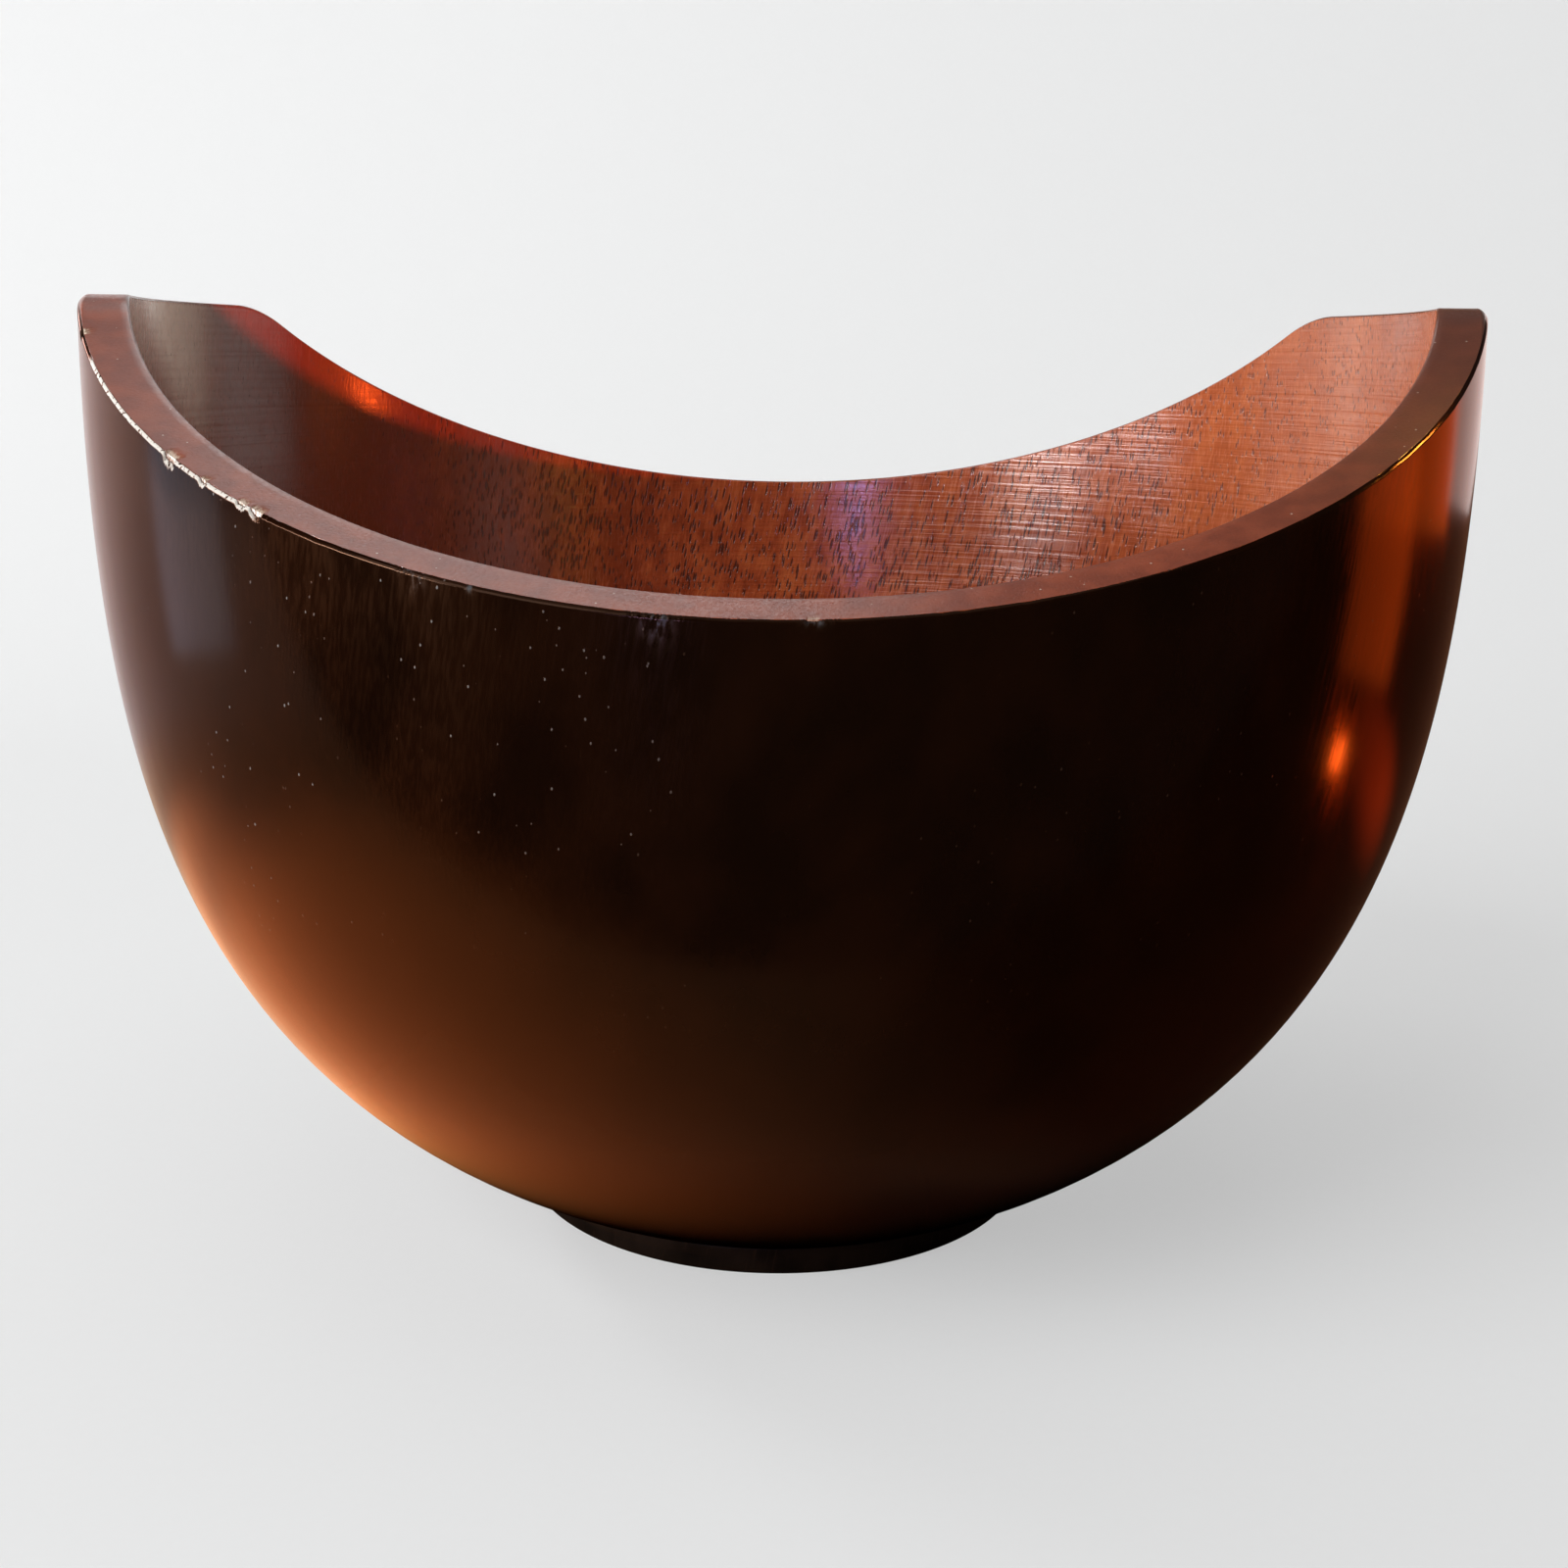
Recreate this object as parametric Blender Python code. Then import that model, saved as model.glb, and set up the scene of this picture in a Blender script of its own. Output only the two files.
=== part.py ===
"""A turned wooden bowl whose rim is cut down to a low front and back between two flat-topped wings.

The bowl is three pieces: a turned wooden shell, the black lacquer coat that covers the whole outside
of it, and a separately turned foot whose spigot is glued into a socket under the shell.

Metres, +Z up. The origin is the centre of the foot's underside. The wings stand at -X and +X, and the
low points of the rim are at -Y and +Y.
"""
import math

import bmesh
import bpy

# Overall size
RIM_RADIUS = 0.127
HEIGHT = 0.176

# Outer wall: one curve that springs from the foot and ends at the rim, leaning slightly inwards
WALL_SPRING_ANGLE = math.radians(25.0)
WALL_SPRING_PULL = 0.076
WALL_TOP_LEAN = math.radians(2.0)
WALL_TOP_PULL = 0.0785

# Wall thickness, and the dished floor that the inner wall runs into
WALL_THICKNESS = 0.0074
LIP_THICKNESS = 0.0084
DISH_HEIGHT = 0.060
FLOOR_THICKNESS = 0.0042

# Rim cut: two inclined cuts that leave a flat top on each wing, with a rounded corner between
CUT_DEPTH = 0.043
WING_HALF_WIDTH = 0.041
CORNER_RADIUS = 0.035
RIM_FACE_SLOPE = 0.3

# Lacquer coat on the outside
COAT_THICKNESS = 0.0005

# Foot
FOOT_RADIUS = 0.052
FOOT_HEIGHT = 0.0055
FOOT_EDGE_RADIUS = 0.0010
SPIGOT_RADIUS = 0.036
SPIGOT_HEIGHT = 0.004
RECESS_RADIUS = 0.040
RECESS_DEPTH = 0.002

# Gap left between pieces that touch
CLEARANCE = 0.0003

# Facets
WING_STEPS = 3
CORNER_STEPS = 4
SLOPE_STEPS = 10
WALL_STEPS = 12
DISH_STEPS = 6
EDGE_STEPS = 3
FOOT_STEPS = 64

# Heights and slopes that follow from the sizes above
SEAT_HEIGHT = FOOT_HEIGHT + CLEARANCE
SOCKET_HEIGHT = FOOT_HEIGHT + SPIGOT_HEIGHT + CLEARANCE
SOCKET_RADIUS = SPIGOT_RADIUS + CLEARANCE
FLOOR_HEIGHT = SOCKET_HEIGHT + FLOOR_THICKNESS
LOW_RIM_HEIGHT = HEIGHT - CUT_DEPTH
CUT_SLOPE = CUT_DEPTH / (RIM_RADIUS - WING_HALF_WIDTH)
CUT_ANGLE = math.atan(CUT_SLOPE)
CORNER_START = WING_HALF_WIDTH - CORNER_RADIUS * math.tan(CUT_ANGLE / 2)
CORNER_END = CORNER_START + CORNER_RADIUS * math.sin(CUT_ANGLE)


def wall_handles():
    """The four control points of the outer wall's curve, as radius and height."""
    foot = (FOOT_RADIUS, FOOT_HEIGHT)
    foot_handle = (
        FOOT_RADIUS + WALL_SPRING_PULL * math.cos(WALL_SPRING_ANGLE),
        FOOT_HEIGHT + WALL_SPRING_PULL * math.sin(WALL_SPRING_ANGLE),
    )
    rim_handle = (
        RIM_RADIUS + WALL_TOP_PULL * math.sin(WALL_TOP_LEAN),
        HEIGHT - WALL_TOP_PULL * math.cos(WALL_TOP_LEAN),
    )
    rim = (RIM_RADIUS, HEIGHT)
    return foot, foot_handle, rim_handle, rim


def wall_point(travel):
    """Radius and height on the outer wall, from 0 at the foot to 1 at the top of a wing."""
    rest = 1.0 - travel
    weights = (rest ** 3, 3 * rest ** 2 * travel, 3 * rest * travel ** 2, travel ** 3)
    points = wall_handles()
    radius = sum(weight * point[0] for weight, point in zip(weights, points))
    height = sum(weight * point[1] for weight, point in zip(weights, points))
    return radius, height


def wall_normal(travel):
    """Unit vector out of the outer wall, as radius and height."""
    rest = 1.0 - travel
    first, second, third, last = wall_handles()
    weights = (rest ** 2, 2 * rest * travel, travel ** 2)
    legs = ((first, second), (second, third), (third, last))
    run = sum(weight * (end[0] - start[0]) for weight, (start, end) in zip(weights, legs))
    rise = sum(weight * (end[1] - start[1]) for weight, (start, end) in zip(weights, legs))
    length = math.hypot(run, rise)
    return rise / length, -run / length


def inset_point(travel, depth):
    """The point at a depth under the outer wall; depth is a function of travel."""
    radius, height = wall_point(travel)
    normal_radius, normal_height = wall_normal(travel)
    inset = depth(travel)
    return radius - inset * normal_radius, height - inset * normal_height


def outer_face(travel):
    """Depth of the outside of the bowl."""
    return 0.0


def coat_back(travel):
    """Depth of the back of the lacquer coat."""
    return COAT_THICKNESS


def shell_face(travel):
    """Depth of the wood that the coat covers."""
    return COAT_THICKNESS + CLEARANCE


def inner_face(travel):
    """Depth of the inner wall, which thickens into the lip above the low points of the rim."""
    height = wall_point(travel)[1]
    lip_share = max(0.0, (height - LOW_RIM_HEIGHT) / CUT_DEPTH)
    return WALL_THICKNESS + (LIP_THICKNESS - WALL_THICKNESS) * lip_share ** 2


def bisect(rising, low, high, rounds=50):
    """The place between low and high where a rising function passes zero."""
    for _ in range(rounds):
        middle = 0.5 * (low + high)
        if rising(middle) > 0.0:
            high = middle
        else:
            low = middle
    return 0.5 * (low + high)


def roof_height(offset):
    """Height of the rim cut at an offset from the wings' middle plane."""
    if offset <= CORNER_START:
        return HEIGHT
    if offset >= CORNER_END:
        return HEIGHT - CUT_SLOPE * (offset - WING_HALF_WIDTH)
    drop = CORNER_RADIUS - math.sqrt(CORNER_RADIUS ** 2 - (offset - CORNER_START) ** 2)
    return HEIGHT - drop


def rim_edge(angle):
    """Travel at which the outer wall meets the rim cut, and the wall's radius there."""
    spread = abs(math.sin(angle))

    def above_cut(travel):
        radius, height = wall_point(travel)
        return height - roof_height(radius * spread)

    travel = bisect(above_cut, 0.0, 1.5)
    return travel, wall_point(travel)[0]


def rim_meeting(angle, depth):
    """Travel at which a layer of the wall meets the dressed face of the rim."""
    spread = abs(math.sin(angle))
    edge_radius = rim_edge(angle)[1]
    face_share = RIM_FACE_SLOPE / CUT_SLOPE

    def above_face(travel):
        radius, height = inset_point(travel, depth)
        return height - roof_height(spread * (edge_radius - face_share * (edge_radius - radius)))

    return bisect(above_face, 0.0, 1.5)


def height_meeting(target, depth):
    """Travel at which a layer of the wall passes a height."""
    return bisect(lambda travel: inset_point(travel, depth)[1] - target, -0.5, 1.5)


def wall_line(angle, depth, start):
    """Points up one layer of the wall, from a start travel to the rim face."""
    end = rim_meeting(angle, depth)
    spread = (end - start) / WALL_STEPS
    return [inset_point(start + spread * step, depth) for step in range(WALL_STEPS + 1)]


def dish_line():
    """Points of the floor from the axis out to where it runs into the inner wall."""
    join = height_meeting(DISH_HEIGHT, inner_face)
    join_radius, join_height = inset_point(join, inner_face)
    normal_radius, normal_height = wall_normal(join)
    handle_radius = join_radius + (join_height - FLOOR_HEIGHT) * normal_height / normal_radius
    points = []
    for step in range(DISH_STEPS):
        share = step / DISH_STEPS
        rest = 1.0 - share
        radius = 2 * rest * share * handle_radius + share ** 2 * join_radius
        height = (1.0 - share ** 2) * FLOOR_HEIGHT + share ** 2 * join_height
        points.append((radius, height))
    return points


def shell_section(angle):
    """Outline of the shell at one angle, from the socket out and up the wall and down the inside."""
    seat = height_meeting(SEAT_HEIGHT, shell_face)
    join = height_meeting(DISH_HEIGHT, inner_face)
    socket = [(0.0, SOCKET_HEIGHT), (SOCKET_RADIUS, SOCKET_HEIGHT), (SOCKET_RADIUS, SEAT_HEIGHT)]
    outside = wall_line(angle, shell_face, seat)
    inside = wall_line(angle, inner_face, join)
    return socket + outside + inside[::-1] + dish_line()[::-1]


def coat_section(angle):
    """Outline of the lacquer coat at one angle, up its outside and down its back."""
    outside = wall_line(angle, outer_face, height_meeting(SEAT_HEIGHT, outer_face))
    back = wall_line(angle, coat_back, height_meeting(SEAT_HEIGHT, coat_back))
    return outside + back[::-1]


def spaced(start, end, steps):
    """Evenly spaced values from start up to, but not including, end."""
    return [start + (end - start) * step / steps for step in range(steps)]


def rim_angles():
    """Angles once round the rim, closest together at the wings' rounded corners."""
    corner_start = math.asin(CORNER_START / RIM_RADIUS)
    corner_end = math.asin(CORNER_END / RIM_RADIUS)
    quarter_turn = math.pi / 2
    rising = spaced(0.0, corner_start, WING_STEPS)
    rising += spaced(corner_start, corner_end, CORNER_STEPS)
    rising += spaced(corner_end, quarter_turn, SLOPE_STEPS)
    falling = [math.pi - angle for angle in rising[:0:-1]]
    half = rising + [quarter_turn] + falling
    return half + [math.pi + angle for angle in half]


def finish_object(name, bm, material):
    """Turn a bmesh into a shaded object with its material."""
    bmesh.ops.remove_doubles(bm, verts=bm.verts, dist=1e-6)
    bmesh.ops.recalc_face_normals(bm, faces=bm.faces)
    mesh = bpy.data.meshes.new(name)
    bm.to_mesh(mesh)
    bm.free()
    mesh.shade_smooth()
    mesh.set_sharp_from_angle(angle=math.radians(30.0))
    mesh.materials.append(material)
    part = bpy.data.objects.new(name, mesh)
    bpy.context.scene.collection.objects.link(part)
    return part


def lofted(name, section, angles, material):
    """Join the outlines at each angle round the axis into one closed body."""
    bm = bmesh.new()
    columns = []
    for angle in angles:
        column = []
        for radius, height in section(angle):
            column.append(bm.verts.new((radius * math.cos(angle), radius * math.sin(angle), height)))
        columns.append(column)
    for column, neighbour in zip(columns, columns[1:] + columns[:1]):
        for index in range(len(column)):
            following = (index + 1) % len(column)
            if column[index].co.xy.length < 1e-9 and column[following].co.xy.length < 1e-9:
                continue
            bm.faces.new((column[index], neighbour[index], neighbour[following], column[following]))
    return finish_object(name, bm, material)


def foot_outline():
    """Half section of the foot, from the recess out round its edge and in over the spigot."""
    outline = [(0.0, RECESS_DEPTH), (RECESS_RADIUS, RECESS_DEPTH), (RECESS_RADIUS, 0.0)]
    centre_radius = FOOT_RADIUS - FOOT_EDGE_RADIUS
    for step in range(EDGE_STEPS + 1):
        turn = math.pi / 2 * step / EDGE_STEPS
        outline.append((
            centre_radius + FOOT_EDGE_RADIUS * math.sin(turn),
            FOOT_EDGE_RADIUS * (1.0 - math.cos(turn)),
        ))
    spigot_top = FOOT_HEIGHT + SPIGOT_HEIGHT
    outline += [
        (FOOT_RADIUS, FOOT_HEIGHT),
        (SPIGOT_RADIUS, FOOT_HEIGHT),
        (SPIGOT_RADIUS, spigot_top),
        (0.0, spigot_top),
    ]
    return outline


def turned(name, outline, steps, material):
    """Spin a half section once round the axis."""
    bm = bmesh.new()
    verts = [bm.verts.new((radius, 0.0, height)) for radius, height in outline]
    edges = [bm.edges.new(pair) for pair in zip(verts, verts[1:])]
    bmesh.ops.spin(
        bm,
        geom=verts + edges,
        cent=(0.0, 0.0, 0.0),
        axis=(0.0, 0.0, 1.0),
        angle=2 * math.pi,
        steps=steps,
        use_merge=True,
    )
    return finish_object(name, bm, material)


def make_material(name, colour, roughness):
    """A plain finish with one colour."""
    material = bpy.data.materials.new(name)
    material.use_nodes = True
    shader = material.node_tree.nodes["Principled BSDF"]
    shader.inputs["Base Color"].default_value = (*colour, 1.0)
    shader.inputs["Roughness"].default_value = roughness
    shader.inputs["Metallic"].default_value = 0.0
    return material


def clear_scene():
    """Remove whatever the open file holds."""
    for existing in list(bpy.data.objects):
        bpy.data.objects.remove(existing, do_unlink=True)


def build():
    """Make the three pieces of the bowl."""
    clear_scene()
    angles = rim_angles()
    wood = make_material("red_brown_wood", (0.25, 0.075, 0.035), 0.4)
    black = make_material("black_lacquer", (0.010, 0.007, 0.006), 0.25)
    dark_wood = make_material("black_stained_wood", (0.014, 0.009, 0.007), 0.4)
    lofted("bowl_shell", shell_section, angles, wood)
    lofted("lacquer_coat", coat_section, angles, black)
    turned("turned_foot", foot_outline(), FOOT_STEPS, dark_wood)


build()
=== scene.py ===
"""The looks of a turned wooden bowl with a saddle-cut rim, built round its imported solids."""
import math
from collections import namedtuple

import bpy
import numpy as np
from mathutils import Matrix, Vector


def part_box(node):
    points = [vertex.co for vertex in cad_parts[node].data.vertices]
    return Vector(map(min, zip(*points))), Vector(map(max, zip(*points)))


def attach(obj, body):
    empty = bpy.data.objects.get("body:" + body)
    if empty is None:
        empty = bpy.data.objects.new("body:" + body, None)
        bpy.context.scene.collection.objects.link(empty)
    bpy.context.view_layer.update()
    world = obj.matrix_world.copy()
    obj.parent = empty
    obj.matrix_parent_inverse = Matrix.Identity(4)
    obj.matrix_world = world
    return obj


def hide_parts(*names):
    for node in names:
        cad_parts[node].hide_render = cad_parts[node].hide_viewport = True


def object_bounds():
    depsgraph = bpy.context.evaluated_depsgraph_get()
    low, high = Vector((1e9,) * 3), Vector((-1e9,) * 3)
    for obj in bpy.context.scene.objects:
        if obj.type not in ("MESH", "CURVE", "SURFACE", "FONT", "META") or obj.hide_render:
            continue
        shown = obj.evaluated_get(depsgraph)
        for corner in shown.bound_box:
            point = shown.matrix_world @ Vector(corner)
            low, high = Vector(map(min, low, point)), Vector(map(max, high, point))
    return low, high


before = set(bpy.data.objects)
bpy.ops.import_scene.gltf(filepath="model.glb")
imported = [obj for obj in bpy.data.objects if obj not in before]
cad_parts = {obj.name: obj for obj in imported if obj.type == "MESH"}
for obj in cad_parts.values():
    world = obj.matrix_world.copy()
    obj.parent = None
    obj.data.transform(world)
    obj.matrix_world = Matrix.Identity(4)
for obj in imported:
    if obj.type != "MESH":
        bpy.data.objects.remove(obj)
cad_low, cad_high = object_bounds()

MM = 0.001

# Sizes of the bowl, the same as those of the solids
RIM_RADIUS = 127.0 * MM
HEIGHT = cad_high.z
WALL_SPRING_ANGLE = math.radians(25.0)
WALL_SPRING_PULL = 76.0 * MM
WALL_TOP_LEAN = math.radians(2.0)
WALL_TOP_PULL = 78.5 * MM
WALL_THICKNESS = 7.4 * MM
LIP_THICKNESS = 8.4 * MM
DISH_HEIGHT = 60.0 * MM
FLOOR_THICKNESS = 4.2 * MM
CUT_DEPTH = 43.0 * MM
WING_HALF_WIDTH = 41.0 * MM
CORNER_RADIUS = 35.0 * MM
RIM_FACE_SLOPE = 0.3
COAT_THICKNESS = 0.5 * MM
FOOT_RADIUS = 52.0 * MM
FOOT_HEIGHT = 5.5 * MM
FOOT_EDGE_RADIUS = 1.0 * MM
SPIGOT_RADIUS = 36.0 * MM
RECESS_RADIUS = 40.0 * MM
RECESS_DEPTH = 2.0 * MM
CLEARANCE = 0.3 * MM

# Heights and slopes that follow from the sizes above and from the frame
SEAT_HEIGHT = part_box("bowl_shell")[0].z
SPIGOT_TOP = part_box("turned_foot")[1].z
SOCKET_HEIGHT = SPIGOT_TOP + CLEARANCE
SOCKET_RADIUS = SPIGOT_RADIUS + CLEARANCE
FLOOR_HEIGHT = SOCKET_HEIGHT + FLOOR_THICKNESS
LOW_RIM_HEIGHT = HEIGHT - CUT_DEPTH
CUT_SLOPE = CUT_DEPTH / (RIM_RADIUS - WING_HALF_WIDTH)
CUT_ANGLE = math.atan(CUT_SLOPE)
CORNER_START = WING_HALF_WIDTH - CORNER_RADIUS * math.tan(CUT_ANGLE / 2)
CORNER_END = CORNER_START + CORNER_RADIUS * math.sin(CUT_ANGLE)

# Travel up the outer wall is 0 at the foot and 1 at the top of a wing. These are safely outside
BELOW_FOOT = -0.5
PAST_TOP = 1.5

# Edges too fine for the solids
ARRIS_RADIUS = 0.65 * MM
WING_ARRIS_RADIUS = 1.5 * MM
WING_ARRIS_FADE = 6.0 * MM
INNER_ARRIS_RADIUS = 0.45 * MM
ARRIS_POWER = 1.4
FOOT_QUIRK = 0.5 * MM
RECESS_EDGE_RADIUS = 0.5 * MM
TURNING_PITCH = 1.3 * MM
TURNING_DEPTH = 0.05 * MM

# Wear: pixel of the nearest place on the front outer arris, length along the rim and depth below it
Mark = namedtuple("Mark", "pixel length depth")
CHIPS = (
    Mark((84, 338), 2.2 * MM, 0.9 * MM),
    Mark((171, 465), 3.4 * MM, 1.5 * MM),
    Mark((203, 492), 1.6 * MM, 0.7 * MM),
    Mark((243, 515), 2.0 * MM, 0.7 * MM),
    Mark((258, 524), 2.6 * MM, 1.1 * MM),
    Mark((830, 634), 2.2 * MM, 0.30 * MM),
)
SCUFFS = (
    Mark((420, 587), 3.2 * MM, 2.2 * MM),
    Mark((669, 631), 4.0 * MM, 3.0 * MM),
    Mark((478, 603), 1.2 * MM, 0.9 * MM),
    Mark((832, 634), 3.0 * MM, 0.8 * MM),
)
# The stretch of the left arris painted pale as a highlight, between two pixels of the photograph
PAINTED_HIGHLIGHT_START = (88, 362)
PAINTED_HIGHLIGHT_END = (262, 526)
PAINTED_HIGHLIGHT_FADE = 2.0 * MM
CHIP_REACH = 1.6 * MM
CHIP_WOOD_SHARE = 0.45
CHIP_RAGGED = (0.55, 1.25)
BITE_INWARD = 0.6
BITE_DOWN = 0.8
TORN_DEPTH = 0.3 * MM
EDGE_WEAR = 0.12 * MM
EDGE_WEAR_POWER = 3
WEAR_SEED = 7

# Mesh density
COLUMNS = 540
CHIP_COLUMN_STEP = 0.16 * MM
ARRIS_SAMPLES = 4000
WALL_ROWS = 76
HIDDEN_ROWS = 12
HIDDEN_TOP_SHARE = 0.95
CORNER_ROWS = 6
CORNER_FLAT_SHARE = 0.9
ARRIS_ROWS = 6
# Rows of the outer arris that carry the painted highlight
PAINTED_HIGHLIGHT_ROWS = ARRIS_ROWS - 2
FACE_ROWS = 12
INSIDE_ROWS = 58
DISH_ROWS = 28
RECESS_STEPS = 90
EDGE_STEPS = 8
FINE_EDGE_STEPS = 6

# Camera, in the photograph's 1600 by 1600 frame
CAMERA_PLACE = Vector((1.84, -362.8, 166.1)) * MM
CAMERA_YAW = -0.0021
CAMERA_PITCH = 0.2282
CAMERA_ROLL = 0.0105
FOCAL_PIXELS = 1865.5
FRAME_PIXELS = 1600.0
SENSOR_WIDTH = 36.0
NEAREST_SEEN = 10.0 * MM

# Materials. A size is that of one feature, across and along the grain. A ramp has the values where a
# change starts and ends, and then what it gives there if that is not 0 and 1
GRAIN_LEAN = math.radians(12.0)
POLISH_STRETCH = 0.7
QUARTER_TURN = 0.25
SOFT_DETAIL = 2.0
FINE_DETAIL = 3.0
FINEST_DETAIL = 4.0
NOISE_MIDDLE = (0.3, 0.7)
FALLING = (0.0, 1.0, 1.0, 0.0)

# Red-brown wood
PORE_SIZE = (0.7 * MM, 5.4 * MM)
PORE_CROWD_SIZE = (12 * MM, 20 * MM)
PORE_WIDTH = (0.35, 0.62, 0.34, 0.46)
PORE_LEFT = (-105 * MM, -65 * MM, 0.25, 1.0)
PORE_RIGHT = (75 * MM, 115 * MM, 1.0, 0.65)
PORE_EDGE = (0.6, 1.0, 1.0, 0.0)
PORE_ON_RIM = (0.0, 1.0, 1.0, 0.12)
PORE_SHARE = 0.85
FIBRE_SIZE = (0.5 * MM, 9 * MM)
FIBRE_TONE = 0.3
MOTTLE_SIZE = (3.5 * MM, 8 * MM)
MOTTLE_TONE = 0.45
RIBBON_SIZE = (24 * MM, 60 * MM)
RIBBON_TONE = 0.25
# Painted shade: the wood's tone falls towards the left of the inner wall, which lies in shade
LEFT_PAINTED_SHADE_TONE = (-90 * MM, -10 * MM, -0.12, 0.03)
DARK_TO_MIDDLE = (0.38, 0.52)
MIDDLE_TO_LIGHT = (0.48, 0.66)
SIDE_SHARE = (60 * MM, 115 * MM, 0.0, 0.5)
# Painted shade: how far the left of the inner wall is blended towards a dark colour
PAINTED_LEFT_SHADE_SHARE = (-85 * MM, -45 * MM, 0.4, 0.0)
RIM_MOTTLE_SIZE = (5 * MM, 5 * MM)
# Painted shade: how far the rim is darkened towards its right
RIM_PAINTED_SHADE_SHARE = (50 * MM, 115 * MM, 0.0, 0.75)
RIM_SPECK_SIZE = (2.6 * MM, 2.6 * MM)
RIM_SPECK_EDGE = (0.05, 0.07, 1.0, 0.0)
TORN_TONE = (0.4, 0.6)
TURNING_LINE_SIZE = (60 * MM, 0.9 * MM)
TURNING_LINE_EDGE = (0.35, 0.65)
TURNING_LINE_FADE = (-70 * MM, 20 * MM, 0.25, 1.0)
TURNING_LINE_HEIGHT = 0.8
PORE_HEIGHT = -1.0
FIBRE_HEIGHT = 0.3
WOOD_RELIEF = 0.06 * MM
WOOD_ROUGHNESS = (*NOISE_MIDDLE, 0.19, 0.30)
RIM_ROUGHNESS = 0.10

# Black lacquer
LACQUER_GRAIN_SIZE = (0.5 * MM, 22 * MM)
LACQUER_CLOUD_SIZE = (14 * MM, 22 * MM)
DUST_PATCH_SIZE = (22 * MM, 22 * MM)
DUST_PATCH_EDGE = (0.45, 0.6)
DUST_LEFT = (-70 * MM, 30 * MM, 1.0, 0.3)
DUST_UPPER = (60 * MM, 100 * MM)
DUST_SIZE = (1.9 * MM, 2.8 * MM)
DUST_EDGE = (0.09, 0.13, 1.0, 0.0)
DUST_RAGGED_SIZE = (MM, MM)
DUST_RAGGED = 0.06
DUST_HEIGHT = 2.0
SMEAR_SIZE = (0.9 * MM, 2.4 * MM)
SMEAR_EDGE = (0.42, 0.62)
# Gaps in the painted highlight on the left arris
HIGHLIGHT_GAP_SIZE = (0.6 * MM, 0.6 * MM)
HIGHLIGHT_GAP_EDGE = (0.3, 0.45)
CLOUD_ROUGHNESS = (*NOISE_MIDDLE, 0.12, 0.18)
GRAIN_ROUGHNESS = (0.35, 0.65, -0.03, 0.05)
# Extra roughness where the coat is worn, dusty or carries the painted highlight
WEAR_DUST_AND_HIGHLIGHT_ROUGHNESS = 0.3
LACQUER_RELIEF = 0.015 * MM

# Black-stained wood of the foot
STAIN_GRAIN_SIZE = (0.6 * MM, 8 * MM)
STAIN_GRAIN_SHARE = (0.55, 0.75, 0.0, 0.6)
STAIN_GRAIN_HEIGHT = 0.6
STAIN_CLOUD_SIZE = (9 * MM, 9 * MM)
STAIN_LINE_SIZE = (14 * MM, 0.35 * MM)
STAIN_ROUGHNESS = (*NOISE_MIDDLE, 0.4, 0.52)
STAIN_RELIEF = 0.03 * MM

# Floor and backdrop, in metres, and the pale haze that they fade into
FLOOR_REACH = 1.6
SWEEP_BACK = 0.75
SWEEP_RISE = 0.5
SWEEP_RADIUS = 0.35
SWEEP_STEPS = 12
SPECKLE_SIZE = (2 * MM, 2 * MM)
PAPER_ROUGHNESS = 0.9
PAPER_DIM = 0.58
PAPER_GLOW = 0.48
FADE_AWAY = (0.8, 1.4)
FADE_HIGH = (0.37, SWEEP_RISE)
HAZE_RADIUS = 6.0
HAZE_COLUMNS = 48
HAZE_ROWS = 25
HAZE_LEVEL = 0.76

# The ground that the polish mirrors, with distances from the turning axis in metres
MIRRORED_FRONT = -0.185
MIRRORED_LIFT = 0.2 * MM
# Painted shadow on the mirrored ground: to the right of the bowl and close under it
RIGHT_SHADE = (-0.02, 0.09)
UNDER_SHADE = (0.07, 0.115, 0.9, 0.0)
WARM_TO_PALE = (0.34, 0.50)
# A black sheet round the foot, seen only in reflections: a painted contact shadow
CONTACT_REACH = 0.100
CONTACT_SHADE = (0.060, CONTACT_REACH, 1.0, 0.0)
CONTACT_LIFT = 7.0 * MM
GLOW_LIFT = 3.0 * MM
FAR_GLOW_LIFT = 6.0 * MM

# Lamps: their colours, and the places on the bowl that they face
WORLD_LEVEL = 0.12
RED_BEAM_CONE = math.radians(11.0)
RED_BEAM_BLEND = 0.15
RED_BEAM_RADIUS = 5.0 * MM
RED_BEAM_PLACE = (0.60, 0.13, 0.15)
# Tilt of the back strip, so that it runs along what the left arris mirrors
BACK_STRIP_ROLL = math.radians(30.0)
BLACK = (0.0, 0.0, 0.0)
WHITE = (1.0, 1.0, 1.0)
DAYLIGHT = (0.97, 0.985, 1.0)
CREAM = (1.0, 0.84, 0.70)
VIOLET = (0.48, 0.42, 1.0)
BLUE = (0.33, 0.62, 1.0)
YELLOW = (1.0, 0.50, 0.08)
ORANGE = (1.0, 0.40, 0.10)
AMBER = (1.0, 0.19, 0.02)
RED = (1.0, 0.10, 0.01)
BEAM_RED = (1.0, 0.10, 0.012)
BOWL_MIDDLE = (0.0, 0.0, 0.08)
BACK_WALL = (0.02, 0.11, 0.12)
LEFT_WING = (-0.119, 0.01, 0.165)
RIGHT_WALL = (0.092, -0.088, 0.12)
RIGHT_ARRIS = (0.098, -0.080, 0.156)
LOWER_RIGHT_WALL = (0.085, -0.091, 0.108)
BACK_LEFT_RIM = (-0.10, 0.065, 0.16)


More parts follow.
